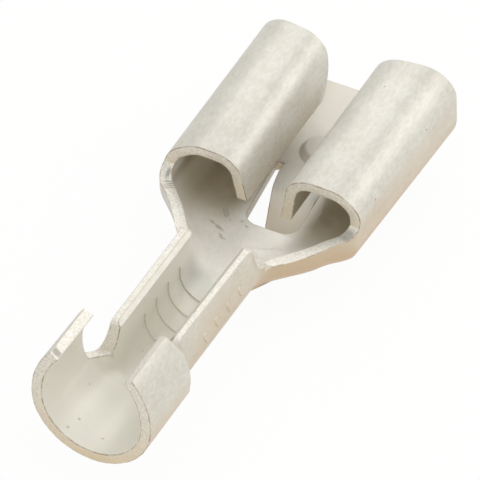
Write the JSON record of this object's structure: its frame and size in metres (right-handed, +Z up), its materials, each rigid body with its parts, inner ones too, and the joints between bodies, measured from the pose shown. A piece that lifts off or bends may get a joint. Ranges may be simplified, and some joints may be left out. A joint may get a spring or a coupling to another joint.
{
  "type": "female spade terminal",
  "caption": "Open-barrel female spade terminal in plated sheet brass, with rolled sides, a spring tongue, a grooved wire barrel and a wider insulation barrel.",
  "frame": {"origin": "bottom centre of the terminal's bounding box, level with the lowest point of its spring tongue", "axes": "+Y towards the mouth that takes the tab, +Z up from the floor towards the rolls, +X across"},
  "size_m": [0.0078, 0.0204, 0.0059],
  "materials": {
    "tin_plated_brass": "satin tin plating over brass, pale silver"
  },
  "bodies": {
    "root": {"spade_receptacle": "tin_plated_brass"}
  },
  "joints": []
}
